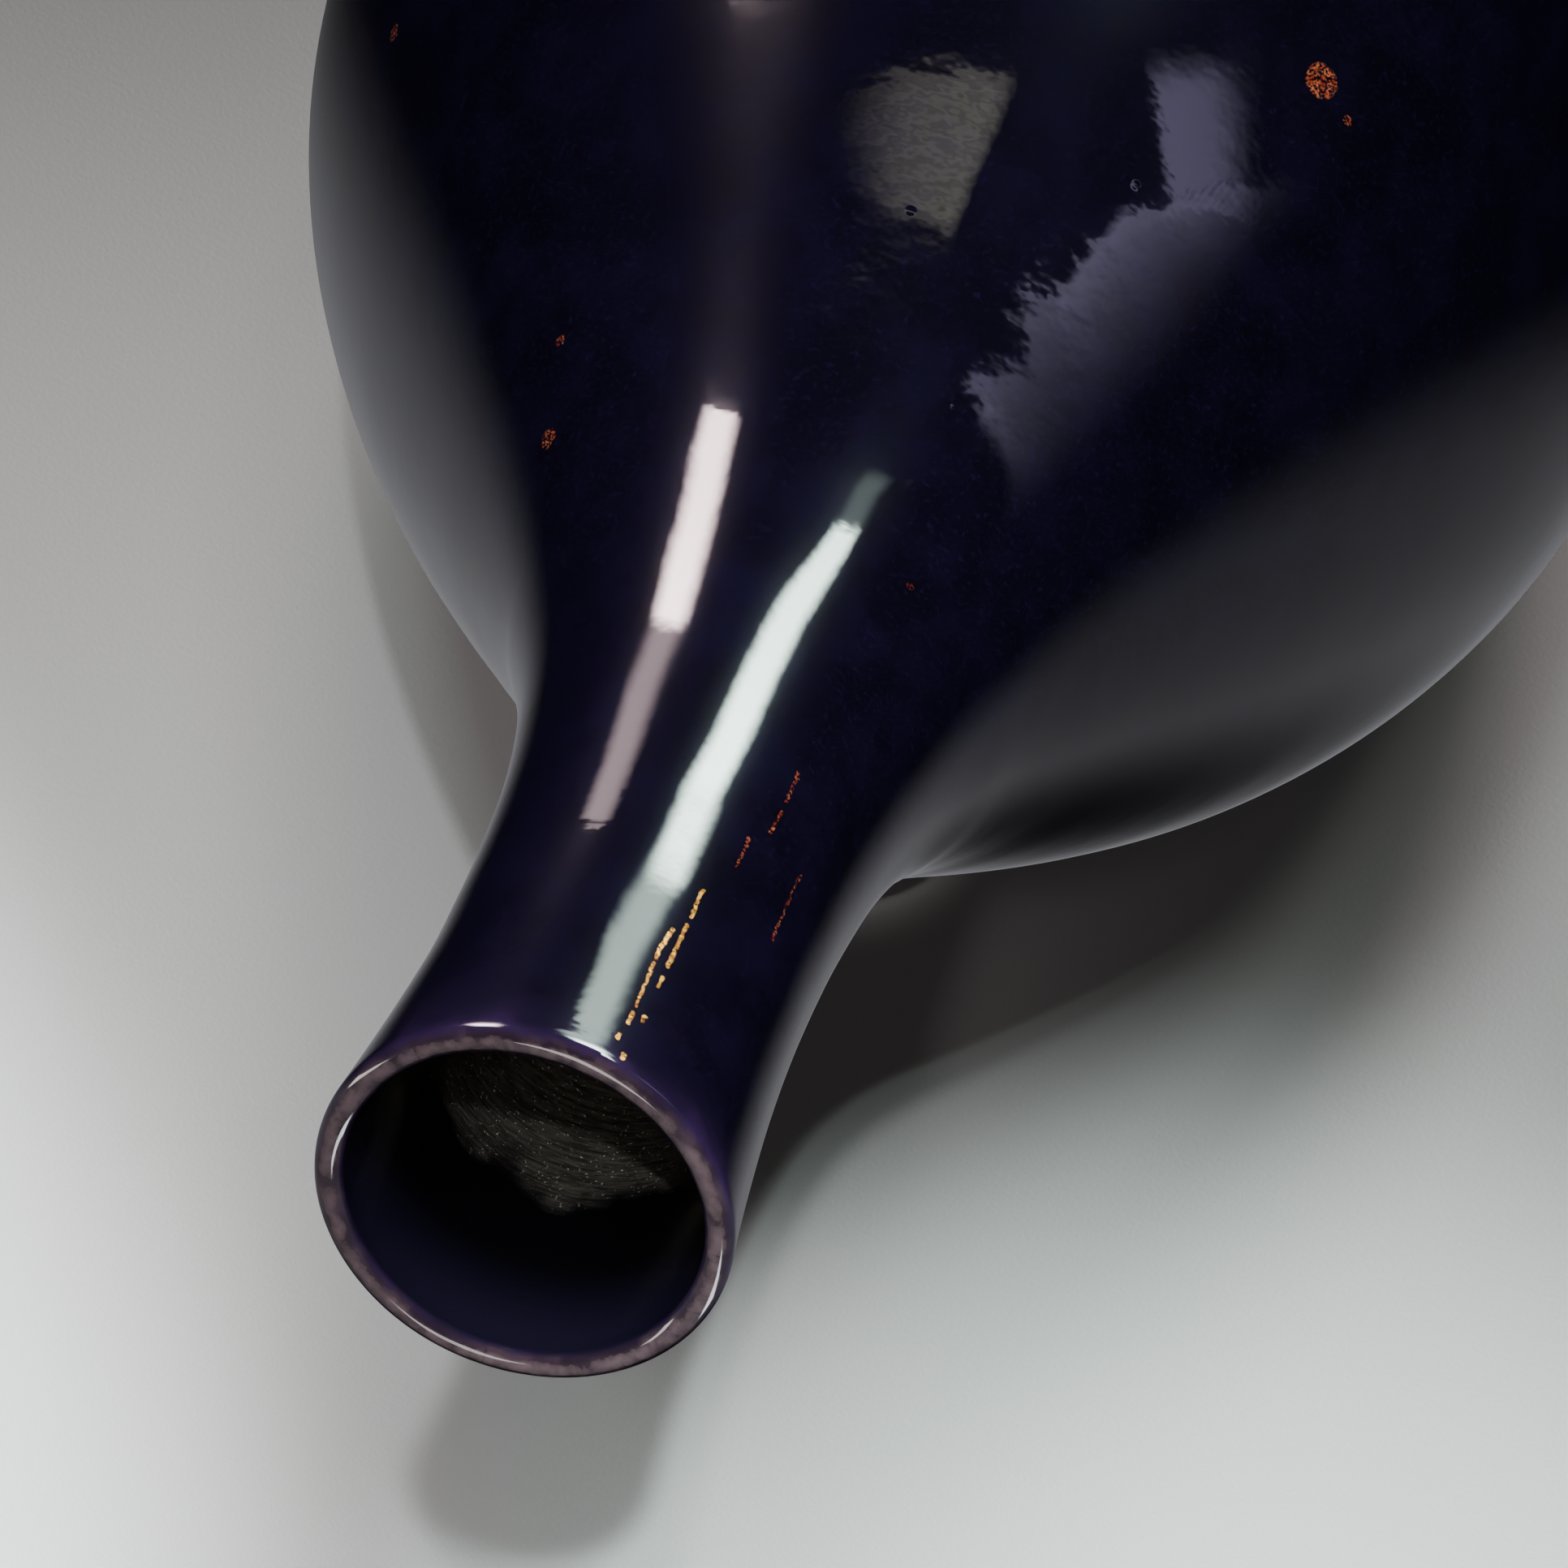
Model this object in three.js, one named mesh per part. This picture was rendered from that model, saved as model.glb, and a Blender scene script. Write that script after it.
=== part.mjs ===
// A porcelain bottle vase: a round belly, a long narrow neck with a slightly flared mouth, and a low foot ring.
// It is thrown in one piece, so it is one solid: hollow, open at the mouth, with its base set up inside the foot.
// Millimetres, +Z up. The origin is the centre of the foot, on the surface that the vase stands on.
import * as THREE from "three";

// Lengths along the axis, from the foot up to the rim
const BELLY_HEIGHT = 52.3; // from the surface below to where the belly is widest
const SHOULDER_LENGTH = 85.4; // from the widest place up to the root of the neck
const NECK_LENGTH = 43; // from the root of the neck up to its narrowest place
const MOUTH_LENGTH = 22.3; // from the narrowest place up to the rim

// Outside radii, from the foot up to the rim
const FOOT_RADIUS = 31.5;
const BELLY_RADIUS = 59.5;
const NECK_ROOT_RADIUS = 19.3;
const NECK_WAIST_RADIUS = 12.65;
const MOUTH_RADIUS = 14;

// The foot ring and the base set up inside it
const FOOT_RING_HEIGHT = 5;
const FOOT_RING_WIDTH = 4.6;
const FOOT_EDGE_RADIUS = 0.8;
const FOOT_STEP = 2; // how far the belly stands out over the foot ring
const BASE_RECESS = 4.4;

// Walls
const LIP_WALL = 2;
const NECK_WALL = 2.5;
const BELLY_WALL = 3.6;
const BASE_WALL = 4.6;

// How the outline bends: the slope at the root of the neck, and how far each bend holds its direction,
// as shares of the stretch that it belongs to
const NECK_ROOT_SLOPE = THREE.MathUtils.degToRad(22.5); // from upright
const WAIST_HOLD = 0.643;
const NECK_ROOT_HOLD = 0.18;
const SHOULDER_HOLD = 0.23;
const BELLY_HOLD = 0.331;
const MOUTH_SLOPE = THREE.MathUtils.degToRad(5.7); // how far the mouth flares from upright
const MOUTH_HOLD = 0.3;
const FLOOR_HOLD = 0.6;

// How finely the outline and the round are divided
const SEGMENTS = 64; // a multiple of four, so that the widest places lie on the axes
const STEPS = { foot: 3, lowerBelly: 8, shoulder: 11, neck: 7, mouth: 4, lip: 6, floor: 7 };

// Heights that follow from the lengths
const NECK_ROOT_HEIGHT = BELLY_HEIGHT + SHOULDER_LENGTH;
const NECK_WAIST_HEIGHT = NECK_ROOT_HEIGHT + NECK_LENGTH;
const RIM_HEIGHT = NECK_WAIST_HEIGHT + MOUTH_LENGTH;
const LIP_RADIUS = LIP_WALL / 2;
const LIP_HEIGHT = RIM_HEIGHT - LIP_RADIUS;
const FLOOR_HEIGHT = BASE_RECESS + BASE_WALL;

const GLAZE = new THREE.MeshStandardMaterial({ color: "#16113a", roughness: 0.08, metalness: 0 });

// A point on the outline: x is the distance from the axis, y the height.
const at = (radius, height) => new THREE.Vector2(radius, height);

// A smooth bend between two points, which leaves each one along its own slope from upright.
function bend(from, fromSlope, fromHold, to, toSlope, toHold) {
  const reach = to.y - from.y;
  const along = (slope, hold) => at(Math.tan(slope), 1).multiplyScalar(hold * reach);
  return new THREE.CubicBezierCurve(
    from,
    from.clone().add(along(fromSlope, fromHold)),
    to.clone().sub(along(toSlope, toHold)),
    to,
  );
}

// A stretch of an ellipse about a centre, from one angle to another; 0 points outwards, a quarter turn up.
function arc(centre, radiusAcross, radiusUp, fromAngle, toAngle, steps) {
  const clockwise = toAngle < fromAngle;
  return new THREE.EllipseCurve(
    centre.x,
    centre.y,
    radiusAcross,
    radiusUp,
    fromAngle,
    toAngle,
    clockwise,
  ).getPoints(steps);
}

// The base's underside, the recess and the foot ring with its two rounded edges.
function footOutline() {
  const outer = FOOT_RADIUS;
  const inner = FOOT_RADIUS - FOOT_RING_WIDTH;
  const r = FOOT_EDGE_RADIUS;
  return [
    at(0, BASE_RECESS),
    at(inner, BASE_RECESS),
    ...arc(at(inner + r, r), r, r, Math.PI, 1.5 * Math.PI, STEPS.foot),
    ...arc(at(outer - r, r), r, r, -0.5 * Math.PI, 0, STEPS.foot),
    at(outer, FOOT_RING_HEIGHT),
  ];
}

// The lower belly: part of an ellipse that leaves the foot ring's top and stands upright where it is widest.
function lowerBellyOutline() {
  const start = Math.acos((FOOT_RADIUS + FOOT_STEP) / BELLY_RADIUS);
  const radiusUp = (BELLY_HEIGHT - FOOT_RING_HEIGHT) / Math.sin(start);
  return arc(at(0, BELLY_HEIGHT), BELLY_RADIUS, radiusUp, -start, 0, STEPS.lowerBelly);
}

// The shoulder, the neck and the flare of the mouth, up to where the rounded lip begins.
function upperCurves() {
  const belly = at(BELLY_RADIUS, BELLY_HEIGHT);
  const root = at(NECK_ROOT_RADIUS, NECK_ROOT_HEIGHT);
  const waist = at(NECK_WAIST_RADIUS, NECK_WAIST_HEIGHT);
  const mouth = at(MOUTH_RADIUS, LIP_HEIGHT);
  return {
    shoulder: bend(belly, 0, BELLY_HOLD, root, -NECK_ROOT_SLOPE, SHOULDER_HOLD),
    neck: bend(root, -NECK_ROOT_SLOPE, NECK_ROOT_HOLD, waist, 0, WAIST_HOLD),
    flare: bend(waist, 0, MOUTH_HOLD, mouth, MOUTH_SLOPE, MOUTH_HOLD),
  };
}

// The inside of a stretch of wall: the outside moved inwards, square to its slope, by a wall that changes
// evenly along the stretch from one value to the other.
function inside(curve, fromWall, toWall, steps) {
  return curve.getPoints(steps).map((point, i) => {
    const share = i / steps;
    const direction = curve.getTangent(share);
    const wall = THREE.MathUtils.lerp(fromWall, toWall, share);
    return at(point.x - wall * direction.y, point.y + wall * direction.x);
  });
}

// The rounded lip, over the top from the outside of the wall to its inside.
function lipOutline() {
  return arc(at(MOUTH_RADIUS - LIP_RADIUS, LIP_HEIGHT), LIP_RADIUS, LIP_RADIUS, 0, Math.PI, STEPS.lip);
}

// The inside of the lower belly, from where it is widest down to the middle of the floor.
function floorOutline() {
  const width = BELLY_RADIUS - BELLY_WALL;
  const depth = BELLY_HEIGHT - FLOOR_HEIGHT;
  return new THREE.CubicBezierCurve(
    at(width, BELLY_HEIGHT),
    at(width, BELLY_HEIGHT - FLOOR_HOLD * depth),
    at(FLOOR_HOLD * width, FLOOR_HEIGHT),
    at(0, FLOOR_HEIGHT),
  ).getPoints(STEPS.floor);
}

// Joined stretches share their end points, so each one drops its first point where the last one ended.
function joined(...stretches) {
  return stretches.reduce((line, next) => {
    const meets = line.length > 0 && line.at(-1).distanceTo(next[0]) < 1e-3;
    return line.concat(meets ? next.slice(1) : next);
  }, []);
}

function vaseOutline() {
  const { shoulder, neck, flare } = upperCurves();
  const innerWall = joined(
    inside(shoulder, BELLY_WALL, NECK_WALL, STEPS.shoulder),
    inside(neck, NECK_WALL, NECK_WALL, STEPS.neck),
    inside(flare, NECK_WALL, LIP_WALL, STEPS.mouth).slice(0, -1),
  );
  return joined(
    footOutline(),
    lowerBellyOutline(),
    shoulder.getPoints(STEPS.shoulder),
    neck.getPoints(STEPS.neck),
    flare.getPoints(STEPS.mouth),
    lipOutline(),
    innerWall.reverse(),
    floorOutline(),
  );
}

const vase = new THREE.Mesh(new THREE.LatheGeometry(vaseOutline(), SEGMENTS), GLAZE);
vase.name = "vase";
vase.rotation.x = Math.PI / 2; // a lathe turns about Y, and the vase stands along Z

const bottleVase = new THREE.Group();
bottleVase.add(vase);

export default bottleVase;
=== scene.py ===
# A bottle vase of glazed porcelain, standing on its foot ring, seen from above and from the mouth's side.
# Everything is in metres in the vase's own frame: Z runs up its axis from the centre of the foot.
from math import radians

import bpy
import numpy as np
from mathutils import Matrix, Vector


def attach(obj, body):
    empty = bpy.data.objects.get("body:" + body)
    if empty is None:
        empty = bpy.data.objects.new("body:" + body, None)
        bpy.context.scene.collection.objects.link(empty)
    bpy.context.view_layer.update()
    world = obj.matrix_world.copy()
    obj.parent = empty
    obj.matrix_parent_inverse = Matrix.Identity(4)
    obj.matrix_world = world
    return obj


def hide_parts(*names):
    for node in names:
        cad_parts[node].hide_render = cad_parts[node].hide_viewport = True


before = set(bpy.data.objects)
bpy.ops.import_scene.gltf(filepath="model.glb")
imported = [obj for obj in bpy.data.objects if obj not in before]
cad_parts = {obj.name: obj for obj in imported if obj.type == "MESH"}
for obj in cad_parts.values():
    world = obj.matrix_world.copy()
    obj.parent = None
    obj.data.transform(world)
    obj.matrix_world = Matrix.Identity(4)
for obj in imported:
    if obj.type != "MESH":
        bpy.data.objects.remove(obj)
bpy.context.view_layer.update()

MM = 0.001

# The camera
# A short telephoto close above the mouth. It is rolled, so that the neck points down and to the left in the
# picture, as it does when one leans over the table.
CAMERA_PLACE = Vector((0.0, -221.2, 458.9)) * MM
CAMERA_AIM = Vector((-4.7, 0.0, 148.1)) * MM
CAMERA_ROLL = radians(-156.684)
SENSOR_WIDTH_MM = 36.0
FOCAL_LENGTH_MM = 121.1

camera_data = bpy.data.cameras.new("camera")
camera_data.sensor_width = SENSOR_WIDTH_MM
camera_data.lens = FOCAL_LENGTH_MM
camera_data.clip_start = 10 * MM
camera = bpy.data.objects.new("camera", camera_data)
bpy.context.scene.collection.objects.link(camera)
looking = (CAMERA_AIM - CAMERA_PLACE).to_track_quat("-Z", "Y").to_matrix()
rolled = looking @ Matrix.Rotation(CAMERA_ROLL, 3, "Z")
camera.matrix_world = Matrix.Translation(CAMERA_PLACE) @ rolled.to_4x4()
bpy.context.scene.camera = camera


# The thrown body
# One porcelain vessel, thrown on a wheel and trimmed at the foot: belly, shoulder, neck, lip and foot ring
# are one wall, open at the mouth. The potter's hand and the running glaze leave it very slightly uneven.
BELLY_HEIGHT = 52.3 * MM
NECK_ROOT_HEIGHT = 137.7 * MM
NECK_WAIST_HEIGHT = 180.7 * MM
RIM_HEIGHT = 203.0 * MM
FOOT_RADIUS = 31.5 * MM
BELLY_RADIUS = 59.5 * MM
NECK_ROOT_RADIUS = 19.3 * MM
NECK_WAIST_RADIUS = 12.65 * MM
MOUTH_RADIUS = 14.0 * MM
FOOT_RING_HEIGHT = 5.0 * MM
FOOT_RING_WIDTH = 4.6 * MM
FOOT_EDGE_RADIUS = 0.8 * MM
FOOT_STEP = 2.0 * MM
BASE_RECESS = 4.4 * MM
LIP_WALL = 2.0 * MM
NECK_WALL = 2.5 * MM
BELLY_WALL = 3.6 * MM
BASE_WALL = 4.6 * MM
NECK_ROOT_SLOPE = radians(22.5)
MOUTH_SLOPE = radians(5.7)
LIP_HEIGHT = RIM_HEIGHT - LIP_WALL / 2
FLOOR_HEIGHT = BASE_RECESS + BASE_WALL
BELLY_HOLD = 0.331  # how far each bend holds its direction, as a share of its stretch
SHOULDER_HOLD = 0.23
NECK_ROOT_HOLD = 0.18
WAIST_HOLD = 0.643
MOUTH_HOLD = 0.3
FLOOR_HOLD = 0.6
TURN_STEPS = 256
UNEVEN = 0.09 * MM  # the most that the wall strays from a true turning
THROWING_SEED = 7


def curve(start, first, second, end, steps):
    """A cubic Bezier curve of (radius, height) points: its two ends and two handles, each weighted by a
    product of powers of t and 1 - t."""
    t = np.linspace(0.0, 1.0, steps)[:, None]
    start, first, second, end = (np.array(point) for point in (start, first, second, end))
    ends = (1 - t) ** 3 * start + t**3 * end
    return ends + 3 * (1 - t) ** 2 * t * first + 3 * (1 - t) * t**2 * second


def bend(start, start_slope, start_hold, end, end_slope, end_hold, steps):
    """A curve between two (radius, height) points. It leaves each end along its slope from upright, and its
    handles reach as high as the hold's share of the height between the ends."""
    reach = end[1] - start[1]
    first = np.array(start) + reach * start_hold * np.array([np.tan(start_slope), 1.0])
    second = np.array(end) - reach * end_hold * np.array([np.tan(end_slope), 1.0])
    return curve(start, first, second, end, steps)


def arc(centre, across, up, from_angle, to_angle, steps):
    """Part of an ellipse: the centre plus across times the cosine and up times the sine of even angles."""
    angle = np.linspace(radians(from_angle), radians(to_angle), steps)
    return np.array(centre) + np.c_[across * np.cos(angle), up * np.sin(angle)]


def straight(start, end, steps):
    """Evenly spaced points from one (radius, height) to another."""
    t = np.linspace(0.0, 1.0, steps)[:, None]
    return np.array(start) * (1 - t) + np.array(end) * t


def inside(outer, from_wall, to_wall):
    """The outer curve moved inwards, square to its slope, by a wall that changes evenly from end to end."""
    along = np.gradient(outer, axis=0)
    along /= np.linalg.norm(along, axis=1)[:, None]
    wall = np.linspace(from_wall, to_wall, len(outer))[:, None]
    return outer + wall * np.c_[-along[:, 1], along[:, 0]]


def outline():
    """The wall's outline as (radius, height) rows, from the middle of the base's underside over the foot
    ring, up the outside, over the lip and down the inside to the middle of the floor. Also gives how many
    of its rows are the base's and the foot ring's."""
    ring_inside = FOOT_RADIUS - FOOT_RING_WIDTH
    edge = FOOT_EDGE_RADIUS
    belly_start = np.arccos((FOOT_RADIUS + FOOT_STEP) / BELLY_RADIUS)
    belly_up = (BELLY_HEIGHT - FOOT_RING_HEIGHT) / np.sin(belly_start)
    floor_width = BELLY_RADIUS - BELLY_WALL
    widest = (BELLY_RADIUS, BELLY_HEIGHT)
    root = (NECK_ROOT_RADIUS, NECK_ROOT_HEIGHT)
    waist = (NECK_WAIST_RADIUS, NECK_WAIST_HEIGHT)
    mouth = (MOUTH_RADIUS, LIP_HEIGHT)
    shoulder = bend(widest, 0, BELLY_HOLD, root, -NECK_ROOT_SLOPE, SHOULDER_HOLD, 84)
    neck = bend(root, -NECK_ROOT_SLOPE, NECK_ROOT_HOLD, waist, 0, WAIST_HOLD, 52)
    flare = bend(waist, 0, MOUTH_HOLD, mouth, MOUTH_SLOPE, MOUTH_HOLD, 26)
    base = straight((0, BASE_RECESS), (ring_inside, BASE_RECESS), 10)
    ring = np.vstack([
        straight((ring_inside, BASE_RECESS), (ring_inside, edge), 4)[1:-1],
        arc((ring_inside + edge, edge), edge, edge, 180, 270, 6),
        arc((FOOT_RADIUS - edge, edge), edge, edge, -90, 0, 6),
        straight((FOOT_RADIUS, edge), (FOOT_RADIUS, FOOT_RING_HEIGHT), 5)[1:],
    ])
    glazed = np.vstack([
        arc((0, BELLY_HEIGHT), BELLY_RADIUS, belly_up, -np.degrees(belly_start), 0, 40),
        shoulder[1:],
        neck[1:],
        flare[1:],
        arc((MOUTH_RADIUS - LIP_WALL / 2, LIP_HEIGHT), LIP_WALL / 2, LIP_WALL / 2, 0, 180, 22)[1:],
        inside(flare, NECK_WALL, LIP_WALL)[-2::-2],
        inside(neck, NECK_WALL, NECK_WALL)[-3::-3],
        inside(shoulder, BELLY_WALL, NECK_WALL)[-3:3:-4],
        curve(
            (floor_width, BELLY_HEIGHT),
            (floor_width, BELLY_HEIGHT - FLOOR_HOLD * (BELLY_HEIGHT - FLOOR_HEIGHT)),
            (FLOOR_HOLD * floor_width, FLOOR_HEIGHT),
            (0, FLOOR_HEIGHT),
            24,
        ),
    ])
    rows = np.vstack([base, ring, glazed])
    return rows, len(base), len(ring)


def hand_thrown(radius, height, turn):
    """How far the wall strays inwards: a sum of slow waves round the vase and along its height, each with
    its own count round, wavelength and start, scaled to between nothing and UNEVEN, and faded at the axis."""
    waves = np.random.default_rng(THROWING_SEED)
    total = np.zeros(np.broadcast(radius, turn).shape)
    for count in (1, 2, 3, 3, 4, 5, 6):
        length = waves.uniform(11, 34) * MM
        start = waves.uniform(0, 2 * np.pi)
        total += np.sin(count * turn + 2 * np.pi * height / length + start) / (1 + 0.35 * count)
    fade = np.clip(radius / (6 * MM), 0, 1)
    return fade * UNEVEN * (0.5 + 0.5 * total / np.abs(total).max())


def lathe(name, rows, steps):
    """A closed turning: each outline point (radius, height) goes round the axis in even steps, and the
    first and last points lie on the axis, so they are one vertex each. UV is the turn as a share and the
    length along the outline in metres. Also gives the outline row that each face starts from."""
    turn = np.arange(steps) * 2 * np.pi / steps
    body = rows[1:-1]
    radius = body[:, :1]
    height = body[:, 1:] + 0 * turn
    stray = hand_thrown(radius, height, turn)
    stray[body[:, 1] < FOOT_RING_HEIGHT + 0.1 * MM] = 0  # the foot is trimmed true
    radius = radius - stray
    ring_points = np.stack([radius * np.cos(turn), radius * np.sin(turn), height], axis=2).reshape(-1, 3)
    points = np.vstack([ring_points, [0, 0, rows[0, 1]], [0, 0, rows[-1, 1]]])
    count = len(body)
    low, high = np.meshgrid(np.arange(count - 1), np.arange(steps), indexing="ij")
    beside = (high + 1) % steps
    lower, upper = low * steps, (low + 1) * steps
    quads = np.stack([lower + high, lower + beside, upper + beside, upper + high], 2).reshape(-1, 4)
    here = np.arange(steps)
    after = (here + 1) % steps
    first, last = len(ring_points), len(ring_points) + 1
    bottom = np.c_[np.full(steps, first), after, here]
    top = np.c_[np.full(steps, last), (count - 1) * steps + here, (count - 1) * steps + after]
    mesh = bpy.data.meshes.new(name)
    mesh.from_pydata(points, [], quads.tolist() + bottom.tolist() + top.tolist())
    length = np.r_[0, np.cumsum(np.linalg.norm(np.diff(rows, axis=0), axis=1))]
    row_of_quad = low.reshape(-1)
    column = high.reshape(-1)
    share = np.stack([column, column + 1, column + 1, column], 1) / steps
    along = length[np.stack([row_of_quad + 1, row_of_quad + 1, row_of_quad + 2, row_of_quad + 2], 1)]
    quad_uv = np.stack([share, along], 2).reshape(-1, 2)
    middle = (here + 0.5) / steps
    bottom_share = np.stack([middle, (here + 1) / steps, here / steps], 1)
    bottom_along = np.tile(length[[0, 1, 1]], (steps, 1))
    bottom_uv = np.stack([bottom_share, bottom_along], 2).reshape(-1, 2)
    top_share = np.stack([middle, here / steps, (here + 1) / steps], 1)
    top_along = np.tile(length[[-1, -2, -2]], (steps, 1))
    top_uv = np.stack([top_share, top_along], 2).reshape(-1, 2)
    layer = mesh.uv_layers.new(name="turned")
    uv = np.vstack([quad_uv, bottom_uv, top_uv])
    layer.data.foreach_set("uv", uv.astype(np.float32).reshape(-1))
    rows_of_faces = np.r_[row_of_quad, np.full(steps, -1), np.full(steps, count)]
    mesh.polygons.foreach_set("use_smooth", np.ones(len(mesh.polygons), dtype=bool))
    mesh.update()
    return mesh, rows_of_faces


rows, base_rows, ring_rows = outline()
vase_mesh, face_rows = lathe("bottle_vase", rows, TURN_STEPS)
vase = bpy.data.objects.new("bottle_vase", vase_mesh)
bpy.context.scene.collection.objects.link(vase)


# The glaze
# A cobalt and manganese glaze, fired glassy and nearly black where it lies thick. It thins to violet under
# the mouth, and to a mottled mauve-brown on the lip, where it ran off. Worn gilding lies on it.
def srgb(code):
    """Linear red, green, blue and alpha of an sRGB hex colour."""
    parts = [int(code[i : i + 2], 16) / 255 for i in (1, 3, 5)]
    return tuple(p / 12.92 if p <= 0.04045 else ((p + 0.055) / 1.055) ** 2.4 for p in parts) + (1.0,)


def add(tree, kind, inputs=(), output=0, **settings):
    """Adds a shader node of a kind with its settings, and gives back one of its outputs. Each input, by its
    name or number, takes another node's output, a number, a vector or an sRGB hex colour. The two colours
    of a Mix are its inputs 6 and 7, and a MapRange runs from inputs 1 and 2 to inputs 3 and 4."""
    made = tree.nodes.new("ShaderNode" + kind)
    for name, value in settings.items():
        setattr(made, name, value)
    for key, value in dict(inputs).items():
        if isinstance(value, bpy.types.NodeSocket):
            tree.links.new(value, made.inputs[key])
        else:
            made.inputs[key].default_value = srgb(value) if isinstance(value, str) else value
    return made.outputs[output] if made.outputs else None


def empty_material(name):
    """A new material with an empty node tree, and that tree."""
    material = bpy.data.materials.new(name)
    material.use_nodes = True
    material.node_tree.nodes.clear()
    return material, material.node_tree


def on_wall(turn_degrees, height_mm):
    """The point on the outside of the wall at a turn about the axis and a height."""
    outside = rows[base_rows + ring_rows : np.argmax(rows[:, 1])]
    radius = np.interp(height_mm * MM, outside[:, 1], outside[:, 0])
    turn = radians(turn_degrees)
    return np.array([radius * np.cos(turn), radius * np.sin(turn), height_mm * MM])


def nearest_line(tree, point, lines):
    """How far a point is from the nearest of some straight lines, each given by the (turn, height) of its
    ends: the length of its offset from a line's start, less the part of that which runs along the line."""
    nearest = None
    for start, end in lines:
        start = on_wall(*start)
        way = on_wall(*end) - start
        length = float(np.linalg.norm(way))
        way = tuple(way / length)
        offset = add(tree, "VectorMath", {0: point, 1: tuple(start)}, operation="SUBTRACT")
        share = add(tree, "VectorMath", {0: offset, 1: way}, "Value", operation="DOT_PRODUCT")
        share = add(tree, "Math", {0: share, 1: 0.0}, operation="MAXIMUM")
        share = add(tree, "Math", {0: share, 1: length}, operation="MINIMUM")
        along_line = add(tree, "VectorMath", {0: way, "Scale": share}, operation="SCALE")
        far = add(tree, "VectorMath", {0: offset, 1: along_line}, "Value", operation="DISTANCE")
        if nearest is not None:
            far = add(tree, "Math", {0: far, 1: nearest}, operation="MINIMUM")
        nearest = far
    return nearest


# Gilding, painted on in upright brush lines and mostly rubbed away: the (turn, height) of each line's ends,
# in degrees and millimetres, then flecks with their radii, burst bubbles, and the turns of the lip's nicks
GOLD_LINES = [
    ((-100.5, 180.3), (-100.4, 183.6)),
    ((-100.2, 184.6), (-99.8, 189.9)),
    ((-99.7, 191.2), (-99.4, 192.4)),
    ((-96.9, 185.8), (-95.8, 188.4)),
    ((-95.8, 188.4), (-95.8, 195.6)),
    ((-95.7, 196.4), (-95.9, 197.8)),
    ((-99.3, 196.1), (-99.0, 196.8)),
    ((-94.8, 199.3), (-94.9, 199.9)),
    ((-97.8, 201.1), (-97.9, 201.6)),
]
RED_GOLD_LINES = [
    ((-112.6, 163.3), (-113.0, 166.6)),
    ((-113.2, 167.8), (-112.6, 170.6)),
    ((-107.2, 172.6), (-106.9, 176.0)),
    ((-128.6, 170.9), (-128.4, 178.8)),
]
GOLD_FLECKS = [
    ((-116.3, 92.2), 1.55), ((-120.9, 92.6), 0.45), ((-113.7, 142.0), 0.3), ((-18.4, 130.4), 0.9),
    ((-25.4, 124.0), 0.5), ((-9.2, 86.0), 0.8), ((-72.0, 64.0), 0.9), ((150.0, 96.0), 1.1),
]
LARGEST_FLECK = 1.55  # the one that kept its gilding best
GOLD_HALF_WIDTH = 0.18 * MM
BUBBLES = [(-31.8, 114.2), (-93.0, 109.3), (-106.6, 108.2), (-101.4, 128.7), (-82.3, 117.6), (-130.1, 145.1)]
LIP_NICKS = [128.0, 141.0, 98.0, -40.0, 195.0]
INSIDE_NAVY = "#0b0915"

glaze, tree = empty_material("cobalt_manganese_glaze")
place = add(tree, "TexCoord", output="Object")
height = add(tree, "SeparateXYZ", {0: place}, "Z")
along = add(tree, "SeparateXYZ", {0: add(tree, "TexCoord", output="UV")}, "Y")
outline_length = np.r_[0, np.cumsum(np.linalg.norm(np.diff(rows, axis=0), axis=1))]
rim_length = float(outline_length[np.argmax(rows[:, 1])])
depth = add(tree, "Math", {0: along, 1: rim_length}, operation="SUBTRACT")
within = add(tree, "MapRange", {0: depth, 1: 0.8 * MM, 2: 1.6 * MM}, interpolation_type="SMOOTHSTEP")

# Outside: clouds a few millimetres across, grains of undissolved colour of a third of a millimetre
cloud = add(tree, "TexNoise", {0: place, "Scale": 1 / (6 * MM), "Detail": 4.0, "Roughness": 0.6})
cloudy = add(tree, "MapRange", {0: cloud, 1: 0.35, 2: 0.72}, interpolation_type="SMOOTHSTEP")
dark = add(tree, "Mix", {0: cloudy, 6: "#07050f", 7: "#0b0819"}, 2, data_type="RGBA")
grain = add(tree, "TexNoise", {0: place, "Scale": 1 / (0.45 * MM), "Detail": 2.0, "Roughness": 0.6})
grainy = add(tree, "MapRange", {0: grain, 1: 0.5, 2: 0.9}, interpolation_type="SMOOTHSTEP")
dark = add(tree, "Mix", {0: grainy, 6: dark, 7: "#130d28"}, 2, data_type="RGBA")
patch = add(tree, "TexNoise", {0: place, "Scale": 1 / (5 * MM), "Detail": 2.0})
ragged = add(tree, "Math", {0: patch, 1: 14 * MM, 2: height}, operation="MULTIPLY_ADD")
thinning = add(tree, "MapRange", {0: ragged, 1: RIM_HEIGHT - 2 * MM, 2: RIM_HEIGHT + 9 * MM},
               interpolation_type="SMOOTHSTEP")
outside_colour = add(tree, "Mix", {0: thinning, 6: dark, 7: "#160e22"}, 2, data_type="RGBA")
last_turn = add(tree, "MapRange", {0: ragged, 1: RIM_HEIGHT + 3.5 * MM, 2: RIM_HEIGHT + 9 * MM},
                interpolation_type="SMOOTHSTEP")
outside_colour = add(tree, "Mix", {0: last_turn, 6: outside_colour, 7: "#20132f"}, 2, data_type="RGBA")
colour = add(tree, "Mix", {0: within, 6: outside_colour, 7: INSIDE_NAVY}, 2, data_type="RGBA")

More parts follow.
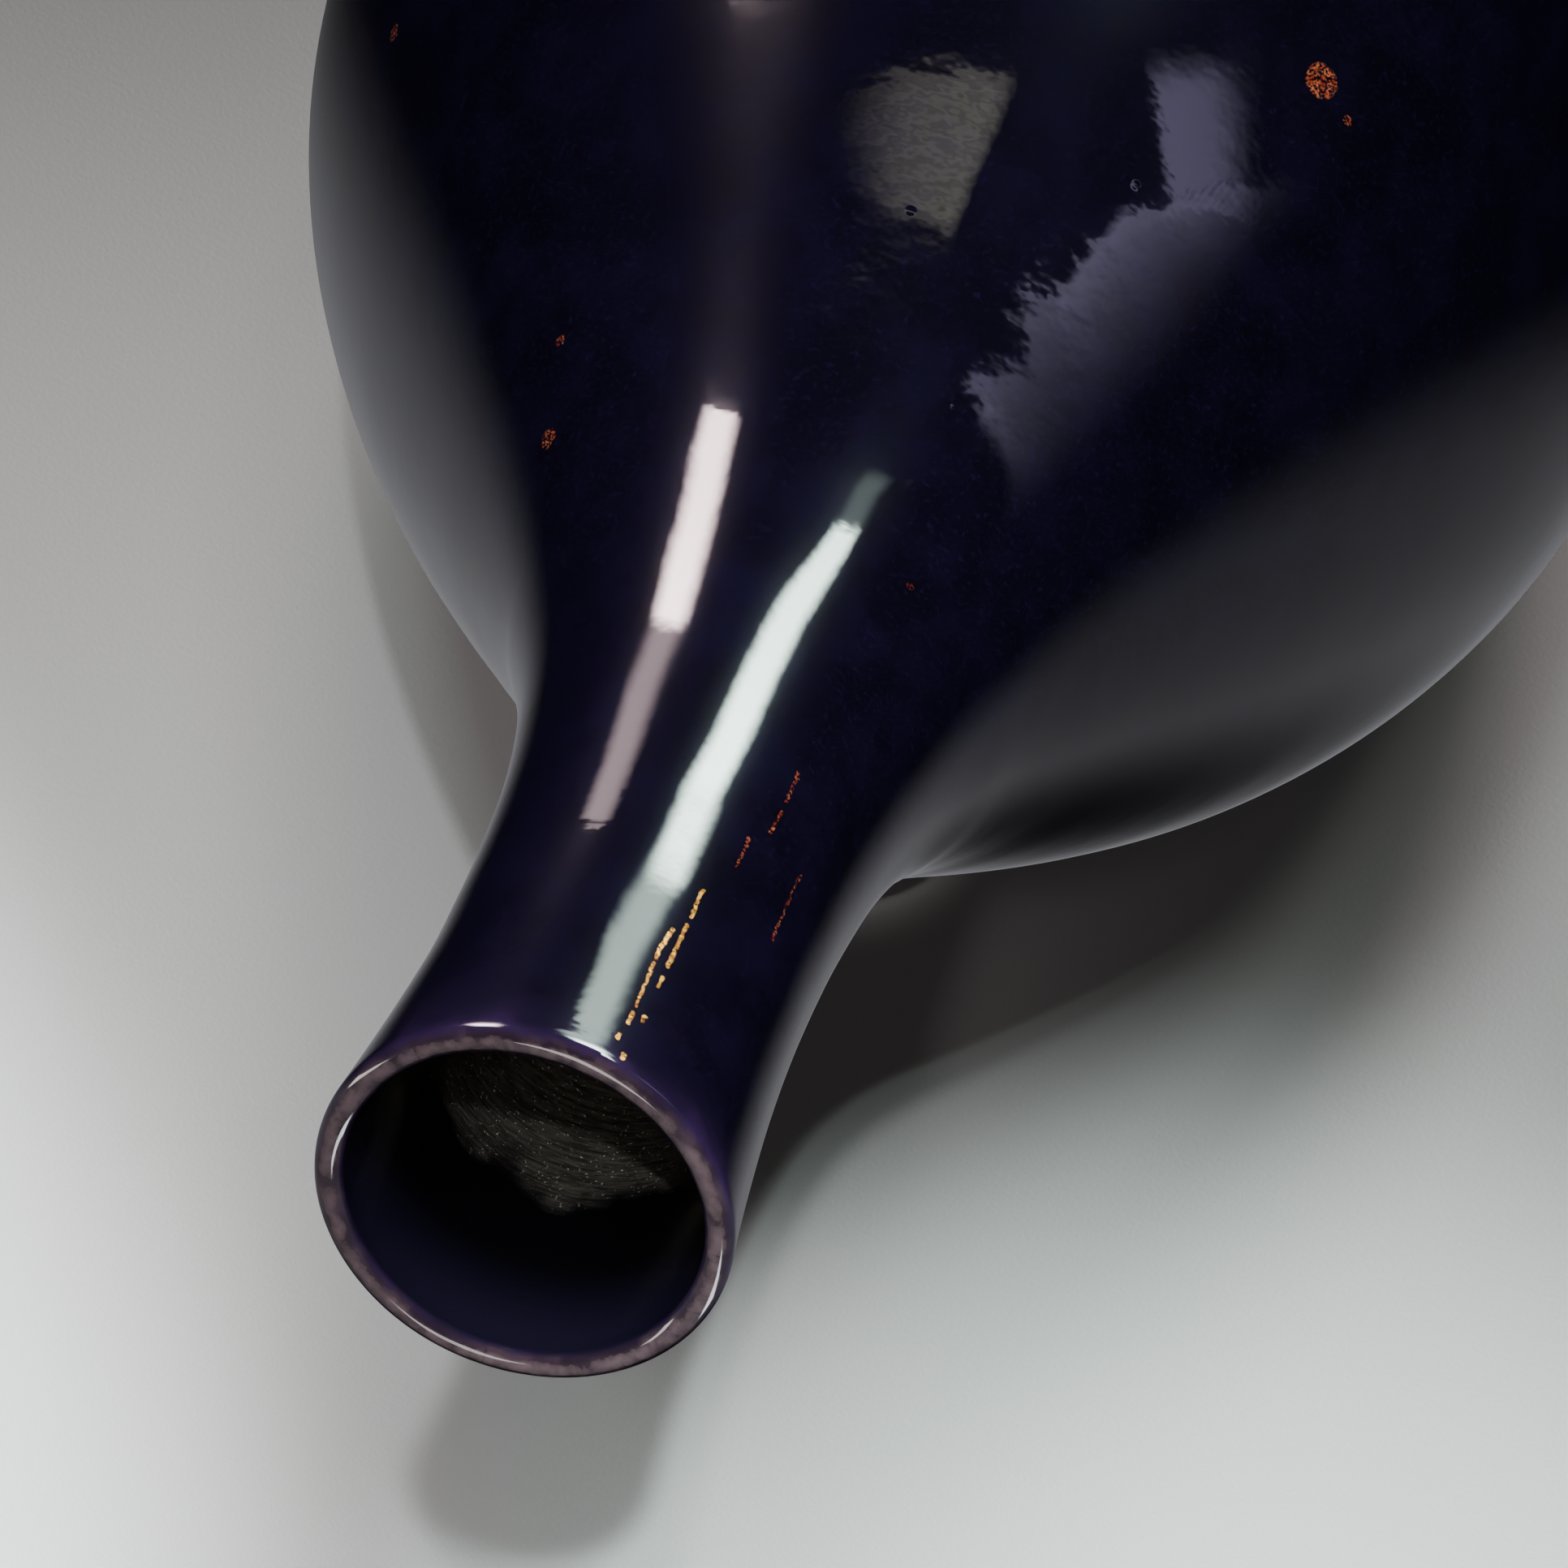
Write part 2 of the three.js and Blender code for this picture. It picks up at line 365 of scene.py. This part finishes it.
# The lip: worn thin over its crown, mottled, with a painted highlight along its top and short dark nicks
# across it
lip_noise = add(tree, "TexNoise", {0: place, "Scale": 1 / (1.3 * MM), "Detail": 4.0, "Roughness": 0.6})
crown = add(tree, "Math", {0: lip_noise, 1: 0.7 * MM, 2: height}, operation="MULTIPLY_ADD")
worn = add(tree, "MapRange", {0: crown, 1: RIM_HEIGHT - 0.42 * MM, 2: RIM_HEIGHT + 0.32 * MM},
           interpolation_type="SMOOTHSTEP")
lip_tone = add(tree, "TexNoise", {0: place, "Scale": 1 / (2.2 * MM), "Detail": 3.0})
lip_tone = add(tree, "MapRange", {0: lip_tone, 1: 0.4, 2: 0.65}, interpolation_type="SMOOTHSTEP")
lip_colour = add(tree, "Mix", {0: lip_tone, 6: "#1a1217", 7: "#2c2126"}, 2, data_type="RGBA")
colour = add(tree, "Mix", {0: worn, 6: colour, 7: lip_colour}, 2, data_type="RGBA")
# Painted highlight: a lighter line painted along the very top of the lip.
crown_painted_highlight = add(tree, "MapRange", {0: crown, 1: RIM_HEIGHT + 0.2 * MM, 2: RIM_HEIGHT + 0.42 * MM})
colour = add(tree, "Mix", {0: crown_painted_highlight, 6: colour, 7: "#42363a"}, 2, data_type="RGBA")
nicks = None
for turn in LIP_NICKS:
    sideways = (float(np.sin(radians(turn))), float(-np.cos(radians(turn))), 0.0)
    off = add(tree, "VectorMath", {0: place, 1: sideways}, "Value", operation="DOT_PRODUCT")
    off = add(tree, "Math", {0: off}, operation="ABSOLUTE")
    outwards = (float(np.cos(radians(turn))), float(np.sin(radians(turn))), 0.0)
    there = add(tree, "VectorMath", {0: place, 1: outwards}, "Value", operation="DOT_PRODUCT")
    other_side = add(tree, "Math", {0: there, 1: 0.0}, operation="LESS_THAN")
    off = add(tree, "Math", {0: off, 1: other_side}, operation="ADD")
    nicks = off if nicks is None else add(tree, "Math", {0: nicks, 1: off}, operation="MINIMUM")
nick_shake = add(tree, "Math", {0: lip_noise, 1: 0.5 * MM, 2: nicks}, operation="MULTIPLY_ADD")
nicked = add(tree, "MapRange", {0: nick_shake, 1: 0.38 * MM, 2: 0.22 * MM, 4: 0.6})
on_lip = add(tree, "MapRange", {0: height, 1: RIM_HEIGHT - 1.0 * MM, 2: RIM_HEIGHT - 0.5 * MM})
nicked = add(tree, "Math", {0: nicked, 1: on_lip}, operation="MULTIPLY")
colour = add(tree, "Mix", {0: nicked, 6: colour, 7: "#120c14"}, 2, data_type="RGBA")

# The gilding: grainy, broken by wear, and no thicker than a colour. Red-gold lies under the bright gold.
shiver = add(tree, "TexNoise", {0: place, "Scale": 1 / (0.7 * MM), "Detail": 3.0}, "Color")
shaken = add(tree, "VectorMath", {0: shiver, 1: (0.4 * MM,) * 3, 2: place}, operation="MULTIPLY_ADD")
shaken = add(tree, "VectorMath", {0: shaken, 1: (0.2 * MM,) * 3}, operation="SUBTRACT")
wear = add(tree, "TexNoise", {0: place, "Scale": 1 / (0.22 * MM), "Detail": 2.0, "Roughness": 0.65})
gold_far = nearest_line(tree, shaken, GOLD_LINES)
gold_line = add(tree, "MapRange", {0: gold_far, 1: GOLD_HALF_WIDTH, 2: 0.5 * GOLD_HALF_WIDTH})
gold_left = add(tree, "MapRange", {0: wear, 1: 0.36, 2: 0.48})
gold = add(tree, "Math", {0: gold_line, 1: gold_left}, operation="MULTIPLY")
red_far = nearest_line(tree, shaken, RED_GOLD_LINES)
red_line = add(tree, "MapRange", {0: red_far, 1: GOLD_HALF_WIDTH, 2: 0.3 * GOLD_HALF_WIDTH})
red_left = add(tree, "MapRange", {0: wear, 1: 0.47, 2: 0.6})
red_gold = add(tree, "Math", {0: red_line, 1: red_left}, operation="MULTIPLY")
red_gold = add(tree, "Math", {0: red_gold, 1: 0.6}, operation="MULTIPLY")
for (turn, up), radius in GOLD_FLECKS:
    far = add(tree, "VectorMath", {0: shaken, 1: tuple(on_wall(turn, up))}, "Value", operation="DISTANCE")
    fleck = add(tree, "MapRange", {0: far, 1: radius * MM, 2: 0.75 * radius * MM})
    fleck = add(tree, "Math", {0: fleck, 1: red_left}, operation="MULTIPLY")
    if radius < LARGEST_FLECK:
        fleck = add(tree, "Math", {0: fleck, 1: 0.4}, operation="MULTIPLY")
    red_gold = add(tree, "Math", {0: red_gold, 1: fleck}, operation="MAXIMUM")
leaf_grain = add(tree, "MapRange", {0: grain, 1: 0.4, 2: 0.6})
red_tone = add(tree, "Mix", {0: leaf_grain, 6: "#b03a1c", 7: "#f08a52"}, 2, data_type="RGBA")
colour = add(tree, "Mix", {0: red_gold, 6: colour, 7: red_tone}, 2, data_type="RGBA")
gold_tone = add(tree, "Mix", {0: leaf_grain, 6: "#9a5416", 7: "#f7b64a"}, 2, data_type="RGBA")
colour = add(tree, "Mix", {0: gold, 6: colour, 7: gold_tone}, 2, data_type="RGBA")
gilt = add(tree, "Math", {0: gold, 1: red_gold}, operation="MAXIMUM")
metallic = add(tree, "Math", {0: gilt, 1: 0.8}, operation="MULTIPLY")

# The skin: an orange peel of a couple of millimetres, low ripples half a millimetre apart, burst bubbles
peel = add(tree, "TexNoise", {0: place, "Scale": 1 / (2.4 * MM), "Detail": 2.0})
ripple_place = add(tree, "Mapping", {0: place, "Scale": (1, 1, 5)})
ripple = add(tree, "TexNoise", {0: ripple_place, "Scale": 1 / (3.0 * MM), "Detail": 2.0, "Roughness": 0.6})
skin = add(tree, "Math", {0: ripple, 1: 0.06, 2: peel}, operation="MULTIPLY_ADD")
burst = None
for turn, up in BUBBLES:
    far = add(tree, "VectorMath", {0: place, 1: tuple(on_wall(turn, up))}, "Value", operation="DISTANCE")
    bubble = add(tree, "MapRange", {0: far, 1: 0.5 * MM, 2: 0.05 * MM}, interpolation_type="SMOOTHSTEP")
    burst = bubble if burst is None else add(tree, "Math", {0: burst, 1: bubble}, operation="MAXIMUM")
skin = add(tree, "Math", {0: burst, 1: -2.0, 2: skin}, operation="MULTIPLY_ADD")
normal = add(tree, "Bump", {"Strength": 1.0, "Distance": 0.012 * MM, "Height": skin})

# A glassy coat over grains that scatter a little: a sharp reflection with a faint haze round it. The
# gilding lies on top of the glass, so no coat covers it.
coat = add(tree, "Math", {0: 1.0, 1: gilt}, operation="SUBTRACT")
roughness = add(tree, "MapRange", {0: gilt, 3: 0.26, 4: 0.34})
shader = add(tree, "BsdfPrincipled", {
    "Base Color": colour, "Metallic": metallic, "Roughness": roughness,
    "IOR": 1.5, "Specular IOR Level": 0.025, "Normal": normal,
    "Coat Weight": coat, "Coat Roughness": 0.035, "Coat IOR": 1.52, "Coat Normal": normal,
})
add(tree, "OutputMaterial", {0: shader})


# The inside
# The glaze runs a couple of centimetres down the inside of the neck and stops in a ragged line. From 2 to
# 10 mm below the rim it is painted near-black: painted shade, deeper in the neck.
# Below it the throwing rings are bare, grey-brown and dusty.
throwing_rings, tree = empty_material("bare_throwing_rings")
place = add(tree, "TexCoord", output="Object")
along = add(tree, "SeparateXYZ", {0: add(tree, "TexCoord", output="UV")}, "Y")
depth = add(tree, "Math", {0: along, 1: rim_length}, operation="SUBTRACT")
# Painted shade: the navy glaze is painted near-black from 2 to 10 mm below the rim, as shade deeper in the
# neck.
deep_painted_shade = add(tree, "MapRange", {0: depth, 1: 2 * MM, 2: 10 * MM}, interpolation_type="SMOOTHSTEP")
navy_with_painted_shade = add(tree, "Mix", {0: deep_painted_shade, 6: INSIDE_NAVY, 7: "#020203"}, 2, data_type="RGBA")
flattened = add(tree, "Mapping", {0: place, "Scale": (1, 1, 8)})
ring_noise = add(tree, "TexNoise", {0: flattened, "Scale": 1 / (2.2 * MM), "Detail": 4.0, "Roughness": 0.8})
rings = add(tree, "MapRange", {0: ring_noise, 1: 0.36, 2: 0.7}, interpolation_type="SMOOTHSTEP")
bare = add(tree, "Mix", {0: rings, 6: "#151413", 7: "#33302c"}, 2, data_type="RGBA")
dust_noise = add(tree, "TexNoise", {0: place, "Scale": 1 / (0.3 * MM), "Detail": 2.0, "Roughness": 0.7})
dust = add(tree, "MapRange", {0: dust_noise, 1: 0.64, 2: 0.72})
bare = add(tree, "Mix", {0: dust, 6: bare, 7: "#76736c"}, 2, data_type="RGBA")
run_noise = add(tree, "TexNoise", {0: place, "Scale": 1 / (5 * MM)})
run_depth = add(tree, "Math", {0: run_noise, 1: -7 * MM, 2: depth}, operation="MULTIPLY_ADD")
bare_share = add(tree, "MapRange", {0: run_depth, 1: 11.5 * MM, 2: 14.5 * MM},
                 interpolation_type="SMOOTHSTEP")
colour = add(tree, "Mix", {0: bare_share, 6: navy_with_painted_shade, 7: bare}, 2, data_type="RGBA")
roughness = add(tree, "MapRange", {0: bare_share, 3: 0.06, 4: 0.6})
normal = add(tree, "Bump", {"Strength": 0.6, "Distance": 0.03 * MM, "Height": ring_noise})
shader = add(tree, "BsdfPrincipled", {
    "Base Color": colour, "Roughness": roughness, "IOR": 1.5, "Normal": normal,
})
add(tree, "OutputMaterial", {0: shader})


# The bare foot ring and the white base
# The ring is unglazed porcelain, ground level after firing and a little soiled by use. The base inside it
# has a clear, faintly green glaze over the white body, with a few iron specks.
biscuit, tree = empty_material("bare_porcelain_biscuit")
place = add(tree, "TexCoord", output="Object")
grit = add(tree, "TexNoise", {0: place, "Scale": 1 / (0.5 * MM), "Detail": 3.0})
soil = add(tree, "TexNoise", {0: place, "Scale": 1 / (8 * MM), "Detail": 4.0, "Roughness": 0.65})
soiled = add(tree, "MapRange", {0: soil, 1: 0.42, 2: 0.7}, interpolation_type="SMOOTHSTEP")
tone = add(tree, "Mix", {0: soiled, 6: "#d8cfc0", 7: "#9c8a74"}, 2, data_type="RGBA")
specks = add(tree, "MapRange", {0: grit, 1: 0.62, 2: 0.72})
tone = add(tree, "Mix", {0: specks, 6: tone, 7: "#8a7a66"}, 2, data_type="RGBA")
normal = add(tree, "Bump", {"Strength": 1.0, "Distance": 0.03 * MM, "Height": grit})
shader = add(tree, "BsdfPrincipled", {"Base Color": tone, "Roughness": 0.72, "IOR": 1.5, "Normal": normal})
add(tree, "OutputMaterial", {0: shader})

clear_glaze, tree = empty_material("clear_glaze_over_white")
place = add(tree, "TexCoord", output="Object")
pool = add(tree, "TexNoise", {0: place, "Scale": 1 / (14 * MM), "Detail": 2.0})
tone = add(tree, "Mix", {0: pool, 6: "#e2e5e1", 7: "#cdd8d4"}, 2, data_type="RGBA")
iron = add(tree, "TexNoise", {0: place, "Scale": 1 / (1.2 * MM), "Detail": 1.0})
iron = add(tree, "MapRange", {0: iron, 1: 0.77, 2: 0.8})
tone = add(tree, "Mix", {0: iron, 6: tone, 7: "#6e5236"}, 2, data_type="RGBA")
peel = add(tree, "TexNoise", {0: place, "Scale": 1 / (2.0 * MM), "Detail": 2.0})
normal = add(tree, "Bump", {"Strength": 1.0, "Distance": 0.02 * MM, "Height": peel})
shader = add(tree, "BsdfPrincipled", {"Base Color": tone, "Roughness": 0.08, "IOR": 1.5, "Normal": normal})
add(tree, "OutputMaterial", {0: shader})

for material in (glaze, throwing_rings, biscuit, clear_glaze):
    vase_mesh.materials.append(material)
GLAZE, INSIDE, BISCUIT, CLEAR = range(4)
first_inside_row = int(np.argmax(outline_length > rim_length + 2.0 * MM)) - 1
finish = np.full(len(face_rows), GLAZE, dtype=np.int32)
finish[face_rows >= first_inside_row] = INSIDE
finish[face_rows < base_rows + ring_rows - 2] = BISCUIT
finish[face_rows < base_rows - 2] = CLEAR
vase_mesh.polygons.foreach_set("material_index", finish)

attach(vase, "root")
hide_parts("vase")


# The table top
# Plain pale paper, dull, with a fine tooth that is drawn coarser than it is so that it shows. The glaze
# doesn't mirror it, so the vase stays dark seen from above.
REACH = 3.0
table_mesh = bpy.data.meshes.new("table_top")
corners = [(-REACH, -REACH, 0), (REACH, -REACH, 0), (REACH, REACH, 0), (-REACH, REACH, 0)]
table_mesh.from_pydata(corners, [], [(0, 1, 2, 3)])
table = bpy.data.objects.new("table_top", table_mesh)
bpy.context.scene.collection.objects.link(table)
paper, tree = empty_material("pale_paper")
place = add(tree, "TexCoord", output="Object")
tooth = add(tree, "TexNoise", {0: place, "Scale": 1 / (0.6 * MM), "Detail": 2.0})
normal = add(tree, "Bump", {"Strength": 0.5, "Distance": 0.1 * MM, "Height": tooth})
shader = add(tree, "BsdfPrincipled", {
    "Base Color": "#c4c4c3", "Roughness": 0.9, "IOR": 1.45, "Specular IOR Level": 0.0, "Normal": normal,
})
add(tree, "OutputMaterial", {0: shader})
table_mesh.materials.append(paper)
table.visible_glossy = False
table.visible_shadow = False


# The lamps
# Spots over and beside the camera light the table beyond the mouth, and the vase's soft shadows fall on it.
# A narrow one shines into the mouth. The glaze doesn't mirror them: it mirrors the cards below.
def spot(name, azimuth, elevation, aim, beam, power, colour, radius, distance=1200):
    """A round lamp at a distance in millimetres from the middle of the mouth, along a direction in degrees,
    and turned towards the point that it aims at. Its beam, given in degrees, is brightest in the middle."""
    data = bpy.data.lights.new(name, "SPOT")
    data.energy = power
    data.color = srgb(colour)[:3]
    data.shadow_soft_size = radius * MM
    data.spot_size = radians(beam)
    data.spot_blend = 1.0
    made = bpy.data.objects.new(name, data)
    bpy.context.scene.collection.objects.link(made)
    turn, rise = radians(azimuth), radians(elevation)
    way = Vector((np.cos(rise) * np.cos(turn), np.cos(rise) * np.sin(turn), np.sin(rise)))
    stand = Vector((0, 0, RIM_HEIGHT)) + way * distance * MM
    facing = (stand - Vector(aim) * MM).to_track_quat("Z", "Y").to_matrix().to_4x4()
    made.matrix_world = Matrix.Translation(stand) @ facing
    made.visible_camera = False
    made.visible_glossy = False


spot("left_spot", -85.3, 43.0, (96, 388, 0), 19.4, 66.0, "#fbfdff", radius=10)
spot("far_spot", -90.7, 33.6, (-24, 429, 0), 18.4, 41.0, "#f6fffa", radius=68)
spot("mint_spot", -87.1, 43.9, (-133, 280, 0), 10.7, 350.0, "#f0fffb", radius=10)
spot("right_spot", -76.8, 33.6, (-98, 122, 0), 16.1, 45.0, "#effffd", radius=89)
spot("side_spot", -58.7, 26.9, (102, 362, 0), 11.8, 830.0, "#f3fff9", radius=10)
spot("rose_spot", -81.7, 25.1, (-48, 276, 0), 15.8, 80.0, "#fff3f3", radius=119)
spot("high_spot", -79.5, 53.3, (92, 194, 0), 12.4, 27.0, "#fff5f5", radius=41)
spot("mouth_spot", -84.0, 63.0, (0, 0, 203), 1.35, 45.0, "#fffaf2", radius=5)

# Floods light the rest of the table, outside what the camera sees, and their beams end short of the vase:
# (azimuth, elevation, distance, aim, beam, power) of each
FLOODS = [
    (-90.0, 60.0, 1200, (0, -440, 0), 34.0, 110.0),
    (-170.0, 60.0, 1200, (-450, -90, 0), 23.0, 110.0),
    (-10.0, 60.0, 1200, (450, -90, 0), 23.0, 110.0),
    (-90.0, 35.0, 2000, (0, -1500, 0), 84.0, 340.0),
    (-175.0, 35.0, 2000, (-1700, -140, 0), 86.0, 340.0),
    (-5.0, 35.0, 2000, (1700, -140, 0), 86.0, 340.0),
    (125.0, 35.0, 2200, (-1200, 1750, 0), 80.0, 340.0),
    (55.0, 35.0, 2200, (1200, 1750, 0), 80.0, 340.0),
]
for number, (azimuth, elevation, distance, aim, beam, power) in enumerate(FLOODS, 1):
    spot(f"flood_{number}", azimuth, elevation, aim, beam, power, "#fdfeff", 60, distance)


# The cards that the glaze mirrors
# Two long tubes that run down the neck, a window and a hanging sheet on the shoulder, black flags that keep
# those two off the neck, and soft boxes for the other sides. Only gloss sees any of them.
def step(value, low, high):
    """A smooth 0 to 1 step of an array between two values, falling instead where low is over high."""
    t = np.clip((value - low) / (high - low), 0, 1)
    return t * t * (3 - 2 * t)


def edges(s, side):
    """Full in the middle of a card, falling off over a share of its width at both sides."""
    return step(s, 0, side) * step(s, 1, 1 - side)


def card(name, centre, towards, left, right, glow, strength, colour):
    """A card on the plane through a centre, square to a direction: a ruled surface between a left and a
    right edge, each a row of (across, up) points in millimetres. Its glow, worked out from the share s of
    the way across and from up, is how much of the card shows."""
    facing = np.array(towards) / np.linalg.norm(towards)
    across = np.cross(facing, [0.0, 0.0, 1.0])
    across /= np.linalg.norm(across)
    upwards = np.cross(across, facing)
    steps_across, steps_along = 16, 20 * (len(left) - 1)
    t = np.linspace(0, len(left) - 1, steps_along + 1)
    corner = np.arange(len(left))
    left_edge, right_edge = (
        np.stack([np.interp(t, corner, axis) for axis in np.array(edge, float).T], 1)
        for edge in (left, right)
    )
    s = np.linspace(0, 1, steps_across + 1)[:, None, None]
    flat = (1 - s) * left_edge + s * right_edge
    points = (np.array(centre) + flat[..., :1] * across + flat[..., 1:] * upwards) * MM
    i, j = np.meshgrid(np.arange(steps_across), np.arange(steps_along), indexing="ij")
    row = steps_along + 1
    here, beside = i * row + j, (i + 1) * row + j
    faces = np.stack([here, beside, beside + 1, here + 1], 2).reshape(-1, 4)
    mesh = bpy.data.meshes.new(name)
    mesh.from_pydata(points.reshape(-1, 3), [], faces.tolist())
    shine = np.clip(glow(s[..., 0], flat[..., 1]), 0, 1) + 0 * flat[..., 0]
    shown = mesh.attributes.new("glow", "FLOAT", "POINT")
    shown.data.foreach_set("value", shine.astype(np.float32).reshape(-1))
    material, tree = empty_material(name)
    light = add(tree, "Emission", {"Color": colour, "Strength": strength})
    share = add(tree, "Attribute", output="Fac", attribute_name="glow")
    both = add(tree, "MixShader", {0: share, 1: add(tree, "BsdfTransparent"), 2: light})
    add(tree, "OutputMaterial", {0: both})
    material.cycles.emission_sampling = "NONE"
    mesh.materials.append(material)
    made = bpy.data.objects.new(name, mesh)
    bpy.context.scene.collection.objects.link(made)
    made.visible_camera = False
    made.visible_diffuse = False
    made.visible_shadow = False
    made.visible_transmission = False


card(
    "rose_tube", (344, -259, -124), (0.672, -0.491, -0.555),
    [(-19, 240), (-5, 205), (-40, 127), (-72, 34),
     (-92, -33), (-123, -113), (-115, -145), (-109, -159)],
    [(139, 240), (133, 205), (119, 135), (101, 48),
     (82, -18), (49, -94), (50, -130), (50, -144)],
    lambda s, up: (
        edges(s, 0.38) * (0.07 + 0.93 * step(up, -45, -20))
        * (1 - 0.97 * step(up, 203, 208)) * step(up, 230, 208)
    ),
    60.0, "#ffe4e8",
)
card(
    "green_tube", (6, -370, -180), (0.011, -0.711, -0.703),
    [(47, 331), (14, 271), (-46, 144), (-83, 44), (-84, -26), (-93, -57), (-106, -79),
     (-132, -134), (-109, -153), (-100, -156)],
    [(163, 319), (127, 259), (99, 135), (74, 32), (78, -19), (65, -54),
     (84, -72), (45, -117), (44, -138), (55, -147)],
    lambda s, up: (
        edges(s, 0.34) * (0.12 + 0.88 * step(up, -95, -45))
        * (1 - 0.97 * step(up, 252, 258)) * step(up, 325, 290)
    ),
    60.0, "#e6fff4",
)
card(
    "window", (80, -322, 123), (0.25, -0.968, 0.029),
    [(-116, -14), (-104, -6), (-80, 2), (-45, 10), (-10, 15)],
    [(72, -14), (74, -6), (76, 2), (78, 10), (85, 16)],
    lambda s, up: (
        step(s, 0, 0.5) * step(s, 1, 0.9) * step(up, 14, 6) * step(up, -14, -9)
        * (0.72 + 0.28 * np.cos(2 * np.pi * up / 3.4 + 1.5 * s)) * (0.5 + 0.5 * s)
    ),
    3.4, "#e0dccb",
)
card(
    "hanging_sheet", (-180, -282, 99), (-0.555, -0.831, -0.038),
    [(-6, 2), (-12, 9), (-45, 18), (-52, 25), (-75, 29), (-103, 31), (-112, 34)],
    [(100, -48), (121, -20), (134, -6), (146, 4), (156, 9), (156, 16), (156, 34)],
    lambda s, up: step(s, 0, 0.05) * (1 - s) ** 2.4 * step(up, 34, 31) * step(up + 50 * s, 2, 8),
    3.2, "#d6cdf4",
)
card(
    "sheet_top", (-180, -282, 99), (-0.555, -0.831, -0.038),
    [(-8, 6), (-40, 3), (-62, -1), (-83, -5), (-105, -10), (-118, -12)],
    [(84, -20), (42, -24), (25, -28), (5, -33), (-10, -38), (-28, -42)],
    lambda s, up: step(s, 0, 0.06) * step(s, 1, 0.45) * (1 - 0.4 * s) * step(up + 30 * s, -12, -4),
    2.8, "#d0c8f4",
)
card(
    "flag", (0, -110, 158), (0, -1, 0),
    [(-70, -34), (-50, -33), (-35, -32.2), (-20, -31.7), (0, -32.2), (8, -32.5)],
    [(-70, 35), (-50, 35), (-35, 35), (-20, 35), (0, 35), (8, 35)],
    lambda s, up: 1 + 0 * s,
    0.0, "#000000",
)
card(
    "neck_flag", (0, -40, 158), (0, -1, 0), [(8, -31), (8, -16)], [(60, -31), (60, -16)],
    lambda s, up: step(up, -30.6, -29.4) * step(s, 0, 0.06),
    0.0, "#000000",
)
card(
    "overhead_box", (0, 60, 900), (0.05, 0.05, 1), [(-160, -110), (-160, 110)], [(160, -110), (160, 110)],
    lambda s, up: edges(s, 0.1) * step(up, -110, -90) * step(up, 110, 90),
    9.0, "#fffaf6",
)
card(
    "back_box", (-420, 420, 500), (-0.6, 0.6, 0.5), [(-60, -220), (-60, 220)], [(60, -220), (60, 220)],
    lambda s, up: edges(s, 0.2) * step(up, -220, -180) * step(up, 220, 180),
    16.0, "#f4f8ff",
)
card(
    "side_box", (560, 240, 520), (0.75, 0.3, 0.55), [(-50, -200), (-50, 200)], [(50, -200), (50, 200)],
    lambda s, up: edges(s, 0.2) * step(up, -200, -170) * step(up, 200, 170),
    12.0, "#fff6ee",
)


# The room
# Dark round the lamps and pale on the far side. The pale side darkens towards the vase's own shadow on it.
# What lies past the table's edge is a plain pale backdrop.
PALE_SIDE = (-0.225, 0.898, 0.378)
SHADOWED_SIDE = (-0.201, 0.929, -0.310)
world = bpy.data.worlds.new("studio")
bpy.context.scene.world = world
world.use_nodes = True
world.cycles.sampling_method = "NONE"
tree = world.node_tree
tree.nodes.clear()
ray = add(tree, "TexCoord", output="Generated")
to_pale = add(tree, "VectorMath", {0: ray, 1: PALE_SIDE}, "Value", operation="DOT_PRODUCT")
pale = add(tree, "MapRange", {0: to_pale, 1: -0.01, 2: 0.26}, interpolation_type="SMOOTHSTEP")
to_shadow = add(tree, "VectorMath", {0: ray, 1: SHADOWED_SIDE}, "Value", operation="DOT_PRODUCT")
shadow = add(tree, "MapRange", {0: to_shadow, 1: 0.93, 2: 0.79}, interpolation_type="SMOOTHSTEP")
pale = add(tree, "Math", {0: pale, 1: shadow}, operation="MULTIPLY")
mirrored = add(tree, "Mix", {0: pale, 6: "#050508", 7: "#86868a"}, 2, data_type="RGBA")
path_is_camera = add(tree, "LightPath", output="Is Camera Ray")
path_is_glossy = add(tree, "LightPath", output="Is Glossy Ray")
room = add(tree, "Background", {0: mirrored, 1: 1.0})
ambient = add(tree, "Background", {0: "#bcb6b6", 1: 0.07})
backdrop = add(tree, "Background", {0: "#b4b6b6", 1: 1.0})
seen = add(tree, "MixShader", {0: path_is_glossy, 1: ambient, 2: room})
seen = add(tree, "MixShader", {0: path_is_camera, 1: seen, 2: backdrop})
add(tree, "OutputWorld", {0: seen})
